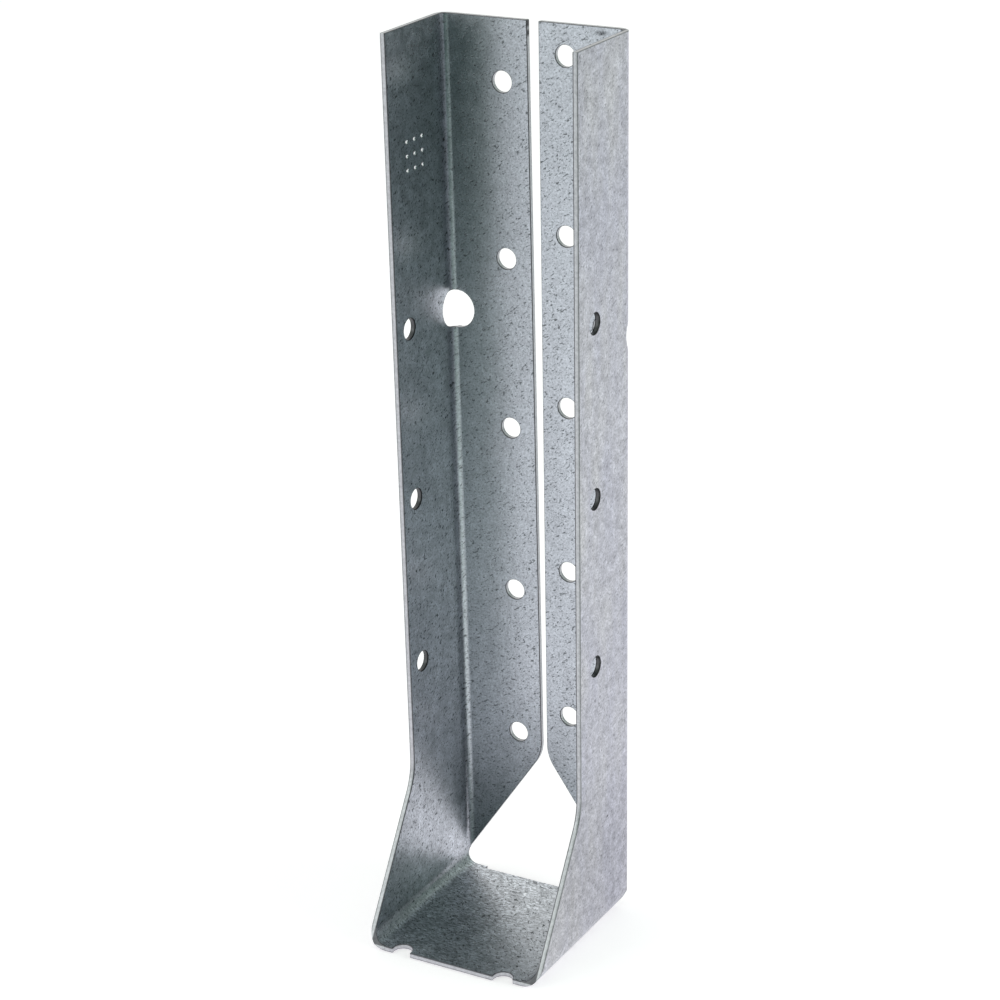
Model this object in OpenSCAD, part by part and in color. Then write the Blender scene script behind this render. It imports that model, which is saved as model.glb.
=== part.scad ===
// A joist hanger, folded from one blank of galvanised sheet. A level seat carries the joist, two
// sides stand up from it and spread a little towards the top, and two flanges turn inward behind
// the joist's end and lie on the header. Millimetres, +Z up. The origin is on the underside of
// the seat, at the middle of the footprint, and the header is towards +Y.

/* [Sheet] */
// Thickness of the sheet
sheet_t = 1.2; // [0.9:0.1:1.6]
// Inside radius of the folds between the seat and the sides
seat_fold_r = 3.2; // [2.5:0.1:4]
// Inside radius of the folds between the sides and the flanges
flange_fold_r = 1.6; // [1:0.1:2.2]

/* [Pocket] */
// Clear width between the sides at the seat
joist_w = 39.7; // [38:0.1:90]
// Length of the seat, from the header to the front edge
seat_d = 44.45; // [42:0.05:90]
// How far each side leans outward from the vertical
spread_angle = 0.35; // [0:0.05:1]

/* [Sides] */
// Height of the sides and the flanges
hanger_h = 196.85; // [190:0.05:300]
// Depth of the sides above the knee, from the header to their front edge
side_d = 23.8; // [21.5:0.1:34]
// Height of the knee, where the slanting front edge would meet the upright one
knee_z = 32.6; // [25:0.1:50]
// Radius that rounds the knee
knee_r = 13; // [4:0.5:25]
// Height of the slanting edge's lower end, at the seat's front corner
slant_foot_z = 0.85; // [0.3:0.05:1.2]
// How far the right side's front corner is set back from the seat's front edge
right_corner_setback = 0.9; // [0:0.1:2]

/* [Flanges] */
// Gap between the flanges at the top
flange_gap_top = 2.7; // [0.8:0.1:8]
// Gap between the flanges at their lower corners
flange_gap_low = 1.4; // [0.8:0.1:8]
// Height of the lower corners, before they are rounded
flange_corner_z = 31.9; // [26:0.1:33]
// Radius that rounds the lower corners
flange_corner_r = 9; // [2:0.5:16]
// Distance from the side's inner face to the foot of the slanting lower edge
flange_foot_inset = 0.25; // [0.1:0.05:1]

/* [Seat] */
// Distance from the header to the seat's rear edge
seat_setback = 4.1; // [3.4:0.1:8]
// Radius of the relief that is cut round the foot of each flange fold
relief_r = 3.2; // [2.9:0.05:3.7]
// Height of the relief's centre
relief_z = 0.7; // [0:0.1:1.2]
// How far the relief reaches into the seat from the side's outer face
relief_reach = 6.9; // [6:0.05:10]
// Distance from the side's outer face to the middle of the notch in the front edge
notch_inset = 8.6; // [7.5:0.05:14]
// Width of the notch
notch_w = 4.4; // [2:0.1:6]
// Depth of the notch
notch_d = 2.9; // [2.5:0.1:8]

/* [Nail holes] */
// Diameter of the nail holes
nail_d = 4.6; // [3:0.1:6]
// Pitch of the flange nail holes
flange_nail_pitch = 37.6; // [30:0.1:60]
// Pitch of the joist nail holes
joist_nail_pitch = 37.9; // [30:0.1:60]
// How much higher the nail holes of the right half lie than those of the left
nail_stagger = 6.6; // [0:0.1:8]
// Least distance from a nail hole's centre to the top edge
nail_edge = 5; // [4:0.5:20]
// Distance from the side's outer face to the flange nail holes
flange_nail_inset = 14.8; // [9:0.1:17]
// Height of the lowest flange nail hole
low_flange_nail_z = 36.2; // [30:0.1:45]
// Step from the lowest flange nail hole to the next one
low_flange_step = 34.6; // [20:0.1:45]
// Distance from the header to the joist nail holes in the left side
left_joist_nail_depth = 18.7; // [12:0.1:19]
// Distance from the header to the joist nail holes in the right side
right_joist_nail_depth = 17; // [12:0.1:19]
// Height of the lowest joist nail hole
low_joist_nail_z = 58.1; // [45:0.1:70]
// Number of joist nail holes in each side
joist_nail_rows = 3; // [1:1:3]

/* [Fold holes] */
// Diameter of the round hole on each flange fold
fold_hole_d = 8.4; // [6:0.1:12]
// Height of the fold holes
fold_hole_z = 133.6; // [60:0.1:140]
// Distance from the side's outer face to the middle of the left fold hole's flange half
fold_hole_flange_inset = 2.4; // [1.5:0.1:3]
// Distance from the header to the middle of the left fold hole's side half
fold_hole_side_inset = 0.8; // [0:0.1:1.5]
// How much further the right fold hole reaches into its flange, and less into its side
fold_hole_shift = 2.1; // [0:0.1:2.5]

/* [Prick mark] */
// Diameter of the prick holes in the left side
prick_d = 0.6; // [0.4:0.1:1]
// Pitch of the prick holes, which form a square
prick_pitch = 3; // [1.5:0.1:3.5]
// Number of prick holes along each edge of the square
prick_rows = 3; // [2:1:3]
// Distance from the header to the middle of the square
prick_depth = 14.1; // [8:0.1:16]
// Distance from the top edge to the middle of the square
prick_drop = 26.55; // [10:0.05:28]

/* [Hidden] */
$fn = 96;
// Straight steps in each rounded corner of the outlines
arc_steps = 16;

// What a cut runs past the faces that it goes through
cut_over = 1;
header_y = seat_d / 2;
front_y = -seat_d / 2;
outer_x = joist_w / 2 + sheet_t;
seat_fold_outer_r = seat_fold_r + sheet_t;
flange_fold_outer_r = flange_fold_r + sheet_t;
// Axis of the fold between the seat and the right side, which runs along Y
seat_axis_x = outer_x - seat_fold_outer_r;
seat_axis_z = seat_fold_outer_r;
// Axis of the fold between the right side and its flange, which runs along Z
flange_axis_x = outer_x - flange_fold_outer_r;
flange_axis_y = header_y - flange_fold_outer_r;

// Cosine and sine of the spread. The cosine is rounded, so that the leaning walls meet the folds
// at exactly the same points.
spread_cos = round(1e6 * cos(spread_angle)) / 1e6;
spread_sin = sqrt(1 - spread_cos ^ 2);

function unit(v) = v / norm(v);
// Points on the arc of radius r that rounds the corner b, from the line to a to the line to c
function rounded(a, b, c, r) =
    let (
        to_a = unit(a - b),
        to_c = unit(c - b),
        half_angle = acos(to_a * to_c) / 2,
        axis = unit(to_a + to_c),
        across = unit(to_a - to_c),
        turn = 90 - half_angle
    )
    [for (i = [0 : arc_steps])
        let (angle = turn * (1 - 2 * i / arc_steps))
        b + axis * (r / sin(half_angle) - r * cos(angle)) + across * r * sin(angle)];

// Turns the right half's upright walls outward about the seat fold's axis
module leaning() {
    translate([seat_axis_x, 0, seat_axis_z])
        multmatrix([
            [spread_cos, 0, spread_sin, 0],
            [0, 1, 0, 0],
            [-spread_sin, 0, spread_cos, 0],
            [0, 0, 0, 1]
        ])
            translate([-seat_axis_x, 0, -seat_axis_z])
                children();
}

// Stands a front view, drawn in X and Z, up along Y from y0 to y1
module along_y(y0, y1) {
    translate([0, y1, 0])
        rotate([90, 0, 0])
            linear_extrude(y1 - y0)
                children();
}

// Stands a side view, drawn in Y and Z, up along X from x0 to x1
module along_x(x0, x1) {
    translate([x0, 0, 0])
        rotate([90, 0, 90])
            linear_extrude(x1 - x0)
                children();
}

// Side view of a side: upright at the back, with a knee and a slant down to the front corner,
// which is set back by setback
module side_outline(setback) {
    top = [header_y - side_d, hanger_h];
    knee = [header_y - side_d, knee_z];
    corner = [front_y + setback, slant_foot_z];
    polygon([
        [header_y, 0],
        [header_y, hanger_h],
        top,
        each rounded(top, knee, corner, knee_r),
        corner,
        [corner.x, 0]
    ]);
}

// Front view of the right flange: a long free edge, a rounded corner and a slant to the foot,
// which is as high as the seat fold
module flange_outline() {
    top = [flange_gap_top / 2, hanger_h];
    corner = [flange_gap_low / 2, flange_corner_z];
    foot = [outer_x - sheet_t - flange_foot_inset, seat_axis_z];
    far_x = 2 * outer_x;
    polygon([
        top,
        each rounded(top, corner, foot, flange_corner_r),
        foot,
        [foot.x, 0],
        [far_x, 0],
        [far_x, hanger_h]
    ]);
}

// Front view of the fold under the right side, before it leans: a ring sector that starts at
// the side and ends where the leaning brings it level with the seat
module seat_fold_section() {
    far = 2 * seat_fold_outer_r;
    translate([seat_axis_x, seat_axis_z])
        intersection() {
            difference() {
                circle(seat_fold_outer_r);
                circle(seat_fold_r);
            }
            polygon([[0, 0], far * [spread_sin, -spread_cos], [far, -far], [far, 0]]);
        }
}

// Plan of the fold behind the right side, a quarter of a ring
module flange_fold_plan() {
    translate([flange_axis_x, flange_axis_y])
        intersection() {
            difference() {
                circle(flange_fold_outer_r);
                circle(flange_fold_r);
            }
            square(flange_fold_outer_r);
        }
}

// The right side, with the fold that carries it from the seat
module side(setback) {
    intersection() {
        leaning() {
            translate([outer_x - sheet_t, front_y - cut_over, seat_axis_z])
                cube([sheet_t, flange_axis_y - front_y + cut_over, hanger_h]);
            along_y(front_y - cut_over, flange_axis_y)
                seat_fold_section();
        }
        along_x(0, 2 * outer_x)
            side_outline(setback);
    }
}

// The right flange and the fold behind the side, on the foot where the two folds meet
module flange() {
    intersection() {
        leaning()
            translate([0, 0, seat_axis_z])
                linear_extrude(hanger_h) {
                    translate([-outer_x, header_y - sheet_t])
                        square([outer_x + flange_axis_x, sheet_t]);
                    flange_fold_plan();
                }
        along_y(flange_axis_y - cut_over, header_y + cut_over)
            flange_outline();
    }
    leaning()
        intersection() {
            along_y(flange_axis_y, header_y + cut_over)
                seat_fold_section();
            translate([flange_axis_x, flange_axis_y, 0])
                cylinder(seat_axis_z + cut_over, r = flange_fold_outer_r);
        }
}

// The level seat between the two folds. Its rear edge is set back from the header, and its
// front edge steps back inside the right notch, where the right side's front corner begins.
module seat() {
    middle_x = outer_x - relief_reach;
    step_x = outer_x - notch_inset;
    difference() {
        linear_extrude(sheet_t)
            polygon([
                [-seat_axis_x, front_y],
                [step_x, front_y],
                [step_x, front_y + right_corner_setback],
                [seat_axis_x, front_y + right_corner_setback],
                [seat_axis_x, flange_axis_y],
                [-seat_axis_x, flange_axis_y]
            ]);
        translate([-middle_x, header_y - seat_setback, -cut_over])
            cube([2 * middle_x, seat_setback, sheet_t + 2 * cut_over]);
    }
}

// The relief across the foot of the right flange fold, bored along X
module relief() {
    translate([outer_x - relief_reach, header_y, relief_z])
        rotate([0, 90, 0])
            cylinder(relief_reach + cut_over, r = relief_r);
}

// The right notch, open at the seat's front edge and round at its inner end
module notch() {
    translate([outer_x - notch_inset, front_y + notch_d - notch_w / 2, -cut_over]) {
        cylinder(sheet_t + 2 * cut_over, d = notch_w);
        translate([-notch_w / 2, -notch_d, 0])
            cube([notch_w, notch_d, sheet_t + 2 * cut_over]);
    }
}

// The round hole on the right flange fold: a half square to the flange and a half square to the
// side, which meet where the flange stops being flat. The hole lies by shift nearer the flange.
module fold_hole(shift) {
    far = 2 * fold_hole_d;
    flange_half_x = outer_x - fold_hole_flange_inset - shift;
    side_half_y = header_y - fold_hole_side_inset + shift;
    intersection() {
        translate([flange_half_x, header_y + cut_over, fold_hole_z])
            rotate([90, 0, 0])
                cylinder(sheet_t + 2 * cut_over, d = fold_hole_d);
        translate([flange_axis_x - far, header_y - far, fold_hole_z - far])
            cube([far, 2 * far, 2 * far]);
    }
    intersection() {
        translate([flange_axis_x, side_half_y, fold_hole_z])
            rotate([0, 90, 0])
                cylinder(flange_fold_outer_r + cut_over, d = fold_hole_d);
        translate([flange_axis_x, header_y - far, fold_hole_z - far])
            cube([far, 2 * far, 2 * far]);
    }
}

// The nail holes of the right half, all raised by rise. Those for the joist lie at joist_depth
// from the header.
module nail_holes(rise, joist_depth) {
    second_z = low_flange_nail_z + low_flange_step;
    top_z = hanger_h - nail_edge - rise;
    for (z = [low_flange_nail_z, each [second_z : flange_nail_pitch : top_z]])
        translate([outer_x - flange_nail_inset, header_y + cut_over, z + rise])
            rotate([90, 0, 0])
                cylinder(sheet_t + 2 * cut_over, d = nail_d);
    for (row = [0 : joist_nail_rows - 1])
        translate([0, header_y - joist_depth, low_joist_nail_z + row * joist_nail_pitch + rise])
            side_bore(nail_d);
}

// A bore through the right side, along X from the point where it is placed
module side_bore(d) {
    translate([outer_x - sheet_t - cut_over, 0, 0])
        rotate([0, 90, 0])
            cylinder(sheet_t + 2 * cut_over, d = d);
}

// A square of small prick holes in a side
module prick_mark() {
    offsets = [for (i = [0 : prick_rows - 1]) (i - (prick_rows - 1) / 2) * prick_pitch];
    for (y = offsets, z = offsets)
        translate([0, header_y - prick_depth + y, hanger_h - prick_drop + z])
            side_bore(prick_d);
}

// Everything that is cut from the right half. The holes are punched square to the leaning
// sheet, and a further hole pattern comes as a child.
module cuts(rise, joist_depth, fold_shift) {
    relief();
    notch();
    leaning() {
        nail_holes(rise, joist_depth);
        fold_hole(fold_shift);
        children();
    }
}

module joist_hanger() {
    color("silver")
        difference() {
            union() {
                seat();
                side(right_corner_setback);
                flange();
                mirror([1, 0, 0]) {
                    side(0);
                    flange();
                }
            }
            cuts(nail_stagger, right_joist_nail_depth, fold_hole_shift);
            mirror([1, 0, 0])
                cuts(0, left_joist_nail_depth, 0)
                    prick_mark();
        }
}

joist_hanger();
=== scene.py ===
import math
from functools import reduce

import bmesh
import bpy
from mathutils import Matrix, Vector


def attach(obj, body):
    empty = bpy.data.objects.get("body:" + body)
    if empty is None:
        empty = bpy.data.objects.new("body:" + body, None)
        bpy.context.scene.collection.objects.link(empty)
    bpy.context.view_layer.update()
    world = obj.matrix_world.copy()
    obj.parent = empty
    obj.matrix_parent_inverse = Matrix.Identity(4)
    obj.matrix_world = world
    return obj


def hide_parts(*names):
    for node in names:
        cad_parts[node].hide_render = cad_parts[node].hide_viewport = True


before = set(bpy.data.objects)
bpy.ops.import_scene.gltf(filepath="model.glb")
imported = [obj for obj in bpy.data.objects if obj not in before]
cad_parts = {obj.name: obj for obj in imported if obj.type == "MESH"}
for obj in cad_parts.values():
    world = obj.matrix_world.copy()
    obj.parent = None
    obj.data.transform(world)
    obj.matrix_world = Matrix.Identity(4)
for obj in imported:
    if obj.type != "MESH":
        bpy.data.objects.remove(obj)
bpy.context.view_layer.update()


# The folded sheet: one blank of zinc-coated steel, 1.2 mm thick, cropped to its outline,
# pierced, and folded up into a seat, two sides and two flanges.
sheet_t = 0.0012
cad_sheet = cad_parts["joist_hanger"]
sheet = cad_sheet.copy()
sheet.data = cad_sheet.data.copy()
sheet.name = "folded_sheet"
sheet.parent = None
bpy.context.scene.collection.objects.link(sheet)
bpy.ops.object.select_all(action="DESELECT")
sheet.select_set(True)
bpy.context.view_layer.objects.active = sheet
bpy.ops.object.mode_set(mode="EDIT")
bpy.ops.mesh.select_mode(type="VERT")
bpy.ops.mesh.select_all(action="SELECT")
bpy.ops.mesh.remove_doubles(threshold=0.00003)
bpy.ops.mesh.select_all(action="SELECT")
bpy.ops.mesh.dissolve_limited(angle_limit=math.radians(0.5), delimit={"NORMAL"})

# The skin and the cut edges: the zinc covers both faces of the sheet, and the shears bare its
# edges. All that isn't joined smoothly to the seat's two faces is a cut edge, and the cut edges
# inside the prick patch are the walls of the prick holes.
sharp = math.radians(40)
prick_patch = ((-0.0225, 0.0040, 0.1660), (-0.0200, 0.0125, 0.1750))
finishes = [bpy.data.materials.new(name)
            for name in ("galvanised_sheet", "sheared_edge", "pricked_steel")]
zinc, shorn, pricked = finishes
sheet.data.materials.clear()
for finish in finishes:
    sheet.data.materials.append(finish)


# Whether a point lies in a box, which is given by its low and its high corner.
def in_box(point, box):
    return all(low < value < high for low, value, high in zip(box[0], point, box[1]))


def is_seat_face(face):
    return abs(face.normal.z) > 0.99 and face.calc_center_median().z < 2 * sheet_t


def is_prick_wall(face):
    return (face.material_index == finishes.index(shorn)
            and in_box(face.calc_center_median(), prick_patch))


# Selects the faces or the edges that a test picks, and nothing else.
def select(kind, wanted):
    bpy.ops.mesh.select_mode(type=kind)
    bpy.ops.mesh.select_all(action="DESELECT")
    edit = bmesh.from_edit_mesh(sheet.data)
    for part in edit.faces if kind == "FACE" else edit.edges:
        if wanted(part):
            part.select_set(True)
    bmesh.update_edit_mesh(sheet.data)


def give_selected(finish):
    sheet.active_material_index = finishes.index(finish)
    bpy.ops.object.material_slot_assign()


select("FACE", is_seat_face)
bpy.ops.mesh.faces_select_linked_flat(sharpness=sharp)
bpy.ops.mesh.select_all(action="INVERT")
give_selected(shorn)
select("FACE", is_prick_wall)
give_selected(pricked)

# The corners of the cut edges: rolled over by the punch. Every sharp edge is rounded, except at
# the tiny prick holes, where the fold holes cross the folds, and at the flanges' feet. The rims
# of the prick holes are broken by a narrow bevel of their own.
fold_holes = ((0.0184, 0.0180, 0.1280), (0.0198, 0.0225, 0.1400))
flange_feet = ((0.0192, 0.0200, 0.0040), (0.0225, 0.0225, 0.0048))


def is_rolled_over(edge):
    middle = (edge.verts[0].co + edge.verts[1].co) / 2
    on_right_half = (abs(middle.x), middle.y, middle.z)
    return (edge.is_manifold and edge.calc_face_angle() > sharp
            and not in_box(middle, prick_patch)
            and not in_box(on_right_half, fold_holes)
            and not in_box(on_right_half, flange_feet))


def is_prick_rim(edge):
    meeting = sorted(face.material_index for face in edge.link_faces)
    return meeting == [finishes.index(zinc), finishes.index(pricked)]


def bevel_selected(finish, width, steps):
    bpy.ops.mesh.bevel(offset=width, segments=steps, affect="EDGES", clamp_overlap=False,
                       loop_slide=False, material=finishes.index(finish))


select("EDGE", is_rolled_over)
bevel_selected(shorn, width=0.00012, steps=2)
select("EDGE", is_prick_rim)
bevel_selected(pricked, width=0.00014, steps=1)
bpy.ops.object.mode_set(mode="OBJECT")
bpy.ops.object.shade_smooth_by_angle(angle=math.radians(35))
bpy.ops.object.modifier_add(type="WEIGHTED_NORMAL")
sheet.modifiers[-1].keep_sharp = True
sheet.modifiers[-1].weight = 100
bpy.ops.object.modifier_apply(modifier=sheet.modifiers[-1].name)

# The zinc skin: a fine grey spangle, with short dark pits that lean with the rolling direction,
# and cloudy handling marks. It is a satin metal, faintly blue-green inside and violet outside.
inner_zinc = (0.492, 0.512, 0.550, 1)
outer_zinc = (0.512, 0.508, 0.572, 1)
smudged_zinc = (0.515, 0.508, 0.528, 1)


# Gives a material or a sky an empty tree of nodes.
def new_tree(owner):
    owner.use_nodes = True
    owner.node_tree.nodes.clear()
    return owner.node_tree


# Adds a node to the tree in hand. An input is a value, or another node's output to link.
def add(kind, inputs=None, **settings):
    node = tree.nodes.new("ShaderNode" + kind)
    for name, value in settings.items():
        setattr(node, name, value)
    for name, value in (inputs or {}).items():
        if isinstance(value, bpy.types.NodeSocket):
            tree.links.new(value, node.inputs[name])
        else:
            node.inputs[name].default_value = value
    return node


def maths(operation, *values):
    return add("Math", dict(enumerate(values)), operation=operation).outputs[0]


def times(*values):
    return reduce(lambda first, second: maths("MULTIPLY", first, second), values)


def largest(*values):
    return reduce(lambda first, second: maths("MAXIMUM", first, second), values)


# Carries a value from one range to another and holds it at the ends.
def blend(value, low, high, to_low, to_high):
    return add("MapRange", {"Value": value, "From Min": low, "From Max": high,
                            "To Min": to_low, "To Max": to_high}).outputs[0]


# A mask's two levels: off where it is 0, on where it is 1.
def level(mask, off, on):
    return blend(mask, 0.0, 1.0, off, on)


# A mask that is 1 between two soft limits, each given by where it starts and where it ends.
def between(value, rise, fall):
    return times(blend(value, *rise, 0.0, 1.0), blend(value, *fall, 1.0, 0.0))


def noise(vector, scale, detail, roughness=0.5):
    return add("TexNoise", {"Vector": vector, "Scale": scale, "Detail": detail,
                            "Roughness": roughness}).outputs["Fac"]


# Noise keeps mostly between 0.3 and 0.7, and this spreads that over a range.
def swing(pattern, least, most):
    return blend(pattern, 0.3, 0.7, least, most)


def object_place():
    return add("TexCoord").outputs["Object"]


def axes(place):
    return add("SeparateXYZ", {"Vector": place}).outputs


# A soft spot round a middle, 1 there and 0 at its reach along each axis.
def spot(place, middle, reach):
    offset = add("VectorMath", {0: place, 1: middle}, operation="SUBTRACT").outputs["Vector"]
    share = add("VectorMath", {0: offset, 1: reach}, operation="DIVIDE").outputs["Vector"]
    away = add("VectorMath", {0: share}, operation="LENGTH").outputs["Value"]
    return blend(away, 0.35, 1.0, 1.0, 0.0)


def mixed(share, first, second):
    return add("MixRGB", {0: share, 1: first, 2: second}).outputs[0]


def dimmed(colour, tone):
    return add("VectorMath", {0: colour, "Scale": tone}, operation="SCALE").outputs["Vector"]


def bump(height, strength, distance):
    return add("Bump", {"Height": height, "Strength": strength,
                        "Distance": distance}).outputs["Normal"]


def metal(colour, roughness, normal=None):
    inputs = {"Base Color": colour, "Metallic": 1.0, "Roughness": roughness}
    if normal is not None:
        inputs["Normal"] = normal
    skin = add("BsdfPrincipled", inputs)
    add("OutputMaterial", {"Surface": skin.outputs["BSDF"]})


# How far through the sheet a point lies: 0 on the inner face, 1 on the outer face. The inner
# face of a side starts at side_x and leans out by side_lean, and that of a flange is at flange_y.
side_x = 0.019823
side_lean = 0.00617
flange_y = 0.021025


def through_sheet(place):
    x, y, z = axes(place)
    across = maths("ABSOLUTE", x)
    inner_x = maths("MULTIPLY_ADD", z, side_lean, side_x)
    in_side = maths("DIVIDE", maths("SUBTRACT", across, inner_x), sheet_t)
    in_flange = maths("DIVIDE", maths("SUBTRACT", y, flange_y), sheet_t)
    in_seat = maths("SUBTRACT", 1.0, maths("DIVIDE", z, sheet_t))
    return largest(in_side, in_flange, in_seat)


tree = new_tree(zinc)
where = object_place()
x, y, z = axes(where)
outside = blend(through_sheet(where), 0.2, 0.8, 0.0, 1.0)
on_flange = blend(y, 0.0200, 0.0208, 0.0, 1.0)
on_seat = blend(z, 0.0014, 0.0030, 1.0, 0.0)

# The spangle covers the whole sheet. The clouds are stronger on the seat and the sides than on
# the flanges, and the smudges run up and down.
spangle = noise(where, scale=2100.0, detail=2.0, roughness=0.65)
clouds = noise(where, scale=420.0, detail=3.0, roughness=0.6)
upright = add("Mapping", {"Vector": where, "Scale": (1.0, 1.0, 0.22)}).outputs[0]
smudges = noise(upright, scale=130.0, detail=3.0, roughness=0.55)
spangle_tone = swing(spangle, 0.76, 1.20)
cloud_tone = maths("MULTIPLY_ADD", swing(clouds, -0.22, 0.22), level(on_flange, 1.0, 0.5), 1.0)
smudge_tone = swing(smudges, 0.92, 1.05)

# Light and dark dashes run across the seat, and are weaker towards its right: the dark ones vary
# the tone at random, and the light ones are painted glints.
crosswise = add("Mapping", {"Vector": where, "Scale": (0.4, 1.0, 1.0)}).outputs[0]
dashes = noise(crosswise, scale=2300.0, detail=2.0, roughness=0.6)
dash_share = times(on_seat, blend(x, 0.0, 0.012, 1.0, 0.4))
dash_and_glint_tone = maths("MULTIPLY_ADD", blend(dashes, 0.38, 0.62, -0.25, 0.50), dash_share, 1.0)

# Painted shade: the zinc is darkened inside the seat's folds, on their inner face.
in_fold = between(z, rise=(0.0014, 0.0020), fall=(0.0036, 0.0048))
fold_painted_shade = maths("SUBTRACT", 1.0, times(in_fold, level(outside, 0.26, 0.0)))

# The pits are weaker outside than inside, and weaker on the flanges.
rolled = add("Mapping", {"Vector": where, "Rotation": (0.52, -0.61, 0.0),
                         "Scale": (1.0, 1.0, 0.40)}, vector_type="TEXTURE").outputs[0]
long_pits = blend(noise(rolled, scale=1050.0, detail=1.0), 0.63, 0.70, 0.0, 0.75)
small_pits = blend(noise(rolled, scale=1900.0, detail=1.0), 0.62, 0.69, 0.0, 0.60)
pit = times(largest(long_pits, small_pits), level(outside, 1.0, 0.5), level(on_flange, 1.0, 0.75))

# Grime sits on the right flange's top edge, at the left flange's top corner and low on the
# right side, where a faint scratch runs below it.
grime = largest(spot(where, (0.0156, 0.0210, 0.1956), (0.0019, 0.0008, 0.0007)),
                spot(where, (-0.0010, 0.0215, 0.1955), (0.0007, 0.0012, 0.0020)),
                spot(where, (0.0212, 0.0105, 0.0267), (0.0009, 0.0007, 0.0004)))
scratch = spot(where, (0.0212, 0.0102, 0.0260), (0.0012, 0.0050, 0.00016))
marked = largest(times(grime, blend(spangle, 0.35, 0.6, 0.9, 0.45)), times(scratch, 0.25))

clean_tone = maths("SUBTRACT", 1.0, largest(pit, marked))
tone = times(spangle_tone, cloud_tone, dash_and_glint_tone, smudge_tone, clean_tone, fold_painted_shade)
outer_tint = mixed(blend(smudges, 0.35, 0.65, 0.0, 1.0), outer_zinc, smudged_zinc)
relief = maths("SUBTRACT", times(spangle, 0.6), pit)
metal(colour=dimmed(mixed(outside, inner_zinc, outer_tint), tone),
      roughness=maths("MULTIPLY_ADD", pit, 0.3, swing(clouds, 0.31, 0.38)),
      normal=bump(relief, strength=0.6, distance=0.00003))

# The sheared steel: a bright burnished band through the middle of the edge, and duller where the
# steel breaks away at the outer face. It is dark at the inner face, where the zinc rolls over,
# and that dark is painted shade along the rounded corner.
edge_band_and_shade_stops = ((0.0, (0.13, 0.13, 0.14)), (0.16, (0.15, 0.15, 0.16)), (0.27, (0.52, 0.52, 0.54)),
              (0.72, (0.48, 0.48, 0.50)), (0.84, (0.30, 0.30, 0.31)), (1.0, (0.28, 0.28, 0.29)))


# Colours a value by stops, each a place on its way from 0 to 1 and a colour.
def shades(value, stops):
    ramp = add("ValToRGB", {"Fac": value})
    marks = ramp.color_ramp.elements
    marks.remove(marks[1])
    marks[0].position = stops[0][0]
    marks[0].color = (*stops[0][1], 1)
    for stop, colour in stops[1:]:
        marks.new(stop).color = (*colour, 1)
    return ramp.outputs["Color"]


tree = new_tree(shorn)
where = object_place()
x, y, z = axes(where)
band = shades(through_sheet(where), edge_band_and_shade_stops)
drag = noise(where, scale=1400.0, detail=2.0, roughness=0.6)

# Painted shade: the walls of the joist nail holes, in the sides, are darkened as if in shadow.
in_side = blend(maths("ABSOLUTE", x), 0.0185, 0.0190, 0.0, 1.0)
off_front = between(y, rise=(0.0005, 0.0010), fall=(0.0150, 0.0155))
below_top = blend(z, 0.1950, 0.1955, 1.0, 0.0)
shaded_hole_walls = times(in_side, off_front, below_top)

# The left flange's free edge is nicked near the top.
nicked = largest(spot(where, (-0.0013, 0.0216, 0.1962), (0.0012, 0.0012, 0.0013)),
                 spot(where, (-0.0013, 0.0216, 0.1942), (0.0012, 0.0012, 0.0010)))
steel_tone = times(swing(drag, 0.82, 1.12), level(shaded_hole_walls, 1.0, 0.22), level(nicked, 1.0, 0.15))
metal(colour=dimmed(band, steel_tone), roughness=0.45,
      normal=bump(drag, strength=0.3, distance=0.00002))

# The pricked steel: the walls of the prick holes, burnished bright by the point that made them.
tree = new_tree(pricked)
metal(colour=(0.95, 0.95, 0.95, 1), roughness=0.2)

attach(sheet, "root")
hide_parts("joist_hanger")


# The floor: a plain pale sheet that the hanger stands on. What the metal mirrors of it is a
# painted reflection, shaded for mirrored rays only: pale round the hanger and behind it, brighter
# in front, dimmer close to the hanger's right as a painted shadow, and falling off to a dark
# blue-green a third of a metre away at the front right.
floor_matt = (0.8, 0.8, 0.8, 1)
floor_glow = (0.48, 0.45, 0.465, 1)
front_right = (0.894, -0.447, 0)
painted_reflection_stops = ((0.0, (0.83, 0.82, 0.86)), (0.10, (0.79, 0.83, 0.82)),
              (0.24, (0.62, 0.72, 0.68)), (0.37, (0.022, 0.052, 0.048)))
bpy.ops.mesh.primitive_plane_add(size=8, location=(0, 0, -0.0001))
floor = bpy.context.object
floor.name = "floor"
floor_paint = bpy.data.materials.new("floor_paint")
floor.data.materials.append(floor_paint)
tree = new_tree(floor_paint)
place = object_place()
ray = add("LightPath").outputs
mirrored = largest(ray["Is Glossy Ray"], ray["Is Transmission Ray"])
along = add("VectorMath", {0: place, 1: front_right}, operation="DOT_PRODUCT").outputs["Value"]
fall = shades(along, painted_reflection_stops)
# Painted light and shadow in the reflections: the floor is brighter in front of the hanger, and a
# painted shadow dims it close to the hanger's right.
painted_light_ahead = blend(axes(place)["Y"], -0.06, 0.06, 1.16, 1.0)
painted_shadow_beside = level(spot(place, (0.045, 0.020, 0), (0.035, 0.060, 1)), 1.0, 0.78)
painted_light_share = times(painted_light_ahead, painted_shadow_beside)
matt_level = mixed(mirrored, floor_matt, dimmed(fall, times(painted_light_share, 0.45)))
glow_level = mixed(mirrored, floor_glow, dimmed(fall, times(painted_light_share, 0.95)))
seen = largest(mirrored, ray["Is Camera Ray"])
matt = add("BsdfDiffuse", {"Color": matt_level})
glow = add("Emission", {"Color": glow_level, "Strength": seen})
lit = add("AddShader", {0: matt.outputs[0], 1: glow.outputs[0]})
add("OutputMaterial", {"Surface": lit.outputs[0]})


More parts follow.
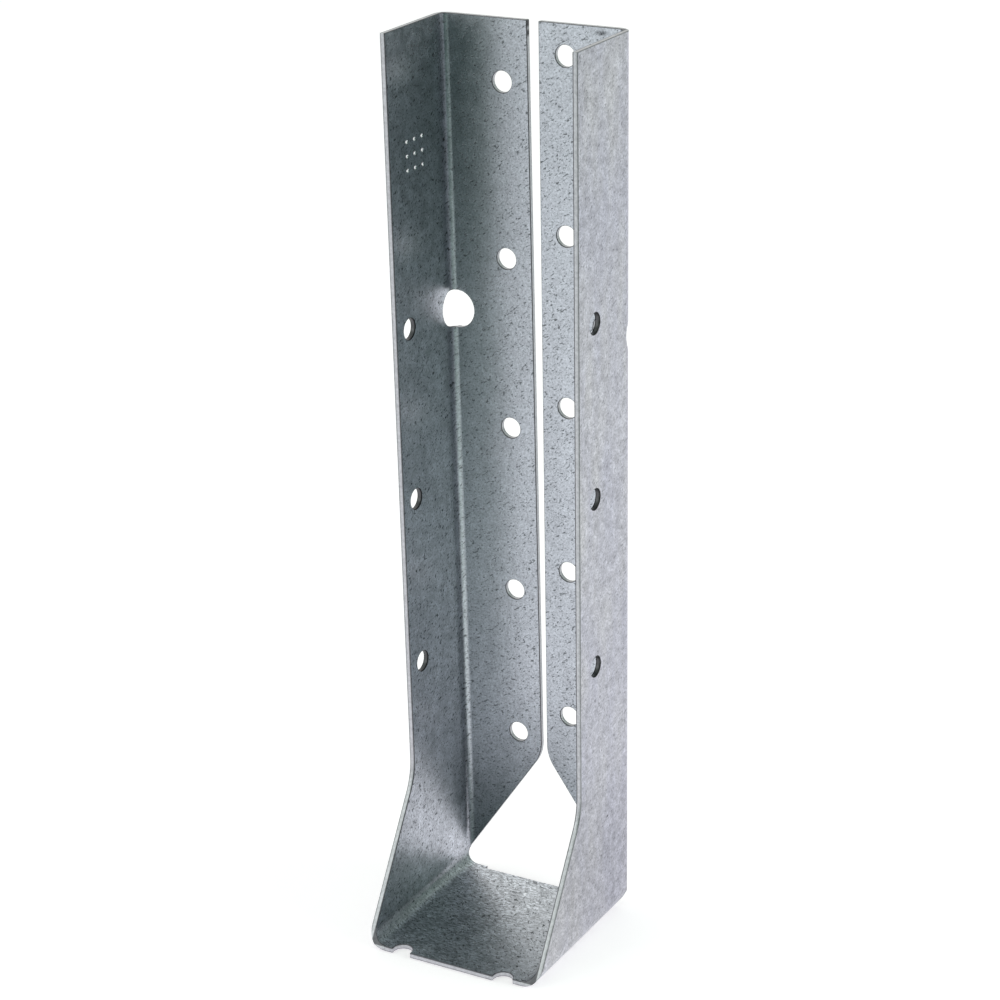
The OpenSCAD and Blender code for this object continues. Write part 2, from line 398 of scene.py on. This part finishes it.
# The light: a soft box at the front left, another at the right, and a sky that is bright behind
# the hanger at the left, dim towards the front right, and brighter again overhead.
box_size = 0.9
hanger_middle = Vector((0, 0, 0.1))
back_left = (-0.85, 0.53, 0)
sky_stops = ((0.0, (0.07, 0.13, 0.11)), (0.4, (0.43, 0.53, 0.48)), (1.0, (1.0, 1.0, 0.98)))


def soft_box(name, place, power):
    lamp = bpy.data.lights.new(name, "AREA")
    lamp.shape = "SQUARE"
    lamp.size = box_size
    lamp.energy = power
    box = bpy.data.objects.new(name, lamp)
    bpy.context.scene.collection.objects.link(box)
    box.location = place
    box.rotation_euler = (hanger_middle - Vector(place)).to_track_quat("-Z", "Y").to_euler()


soft_box("left_box", (-1.05, -1.5, 0.75), power=6)
soft_box("right_box", (1.6, 0.4, 0.6), power=13)
world = bpy.data.worlds.new("sky")
bpy.context.scene.world = world
tree = new_tree(world)
heading = add("TexCoord").outputs["Generated"]
behind = add("VectorMath", {0: heading, 1: back_left}, operation="DOT_PRODUCT").outputs["Value"]
height = axes(heading)["Z"]
brightness = largest(blend(behind, -0.3, 0.8, 0.0, 1.0), blend(height, 0.15, 0.60, 0.0, 0.50))
sky = add("Background", {"Color": shades(brightness, sky_stops), "Strength": 1.05})
add("OutputWorld", {"Surface": sky.outputs[0]})

# The camera: a long lens, above and to the right of the open front, which looks at a point in
# the header's plane.
azimuth = math.radians(29.715)
elevation = math.radians(21.448)
roll = math.radians(-1.263)
distance = 0.60038
looks_at = Vector((-0.01062, 0.022225, 0.09081))
camera_data = bpy.data.cameras.new("camera")
camera_data.sensor_width = 36
camera_data.lens = 99.33
camera = bpy.data.objects.new("camera", camera_data)
bpy.context.scene.collection.objects.link(camera)
turn = (Matrix.Rotation(azimuth, 4, "Z") @ Matrix.Rotation(math.pi / 2 - elevation, 4, "X")
        @ Matrix.Rotation(roll, 4, "Z"))
camera.matrix_world = (Matrix.Translation(looks_at) @ turn
                       @ Matrix.Translation((0, 0, distance)))
bpy.context.scene.camera = camera

bpy.context.scene.view_settings.view_transform = "Standard"

bpy.context.view_layer.update()
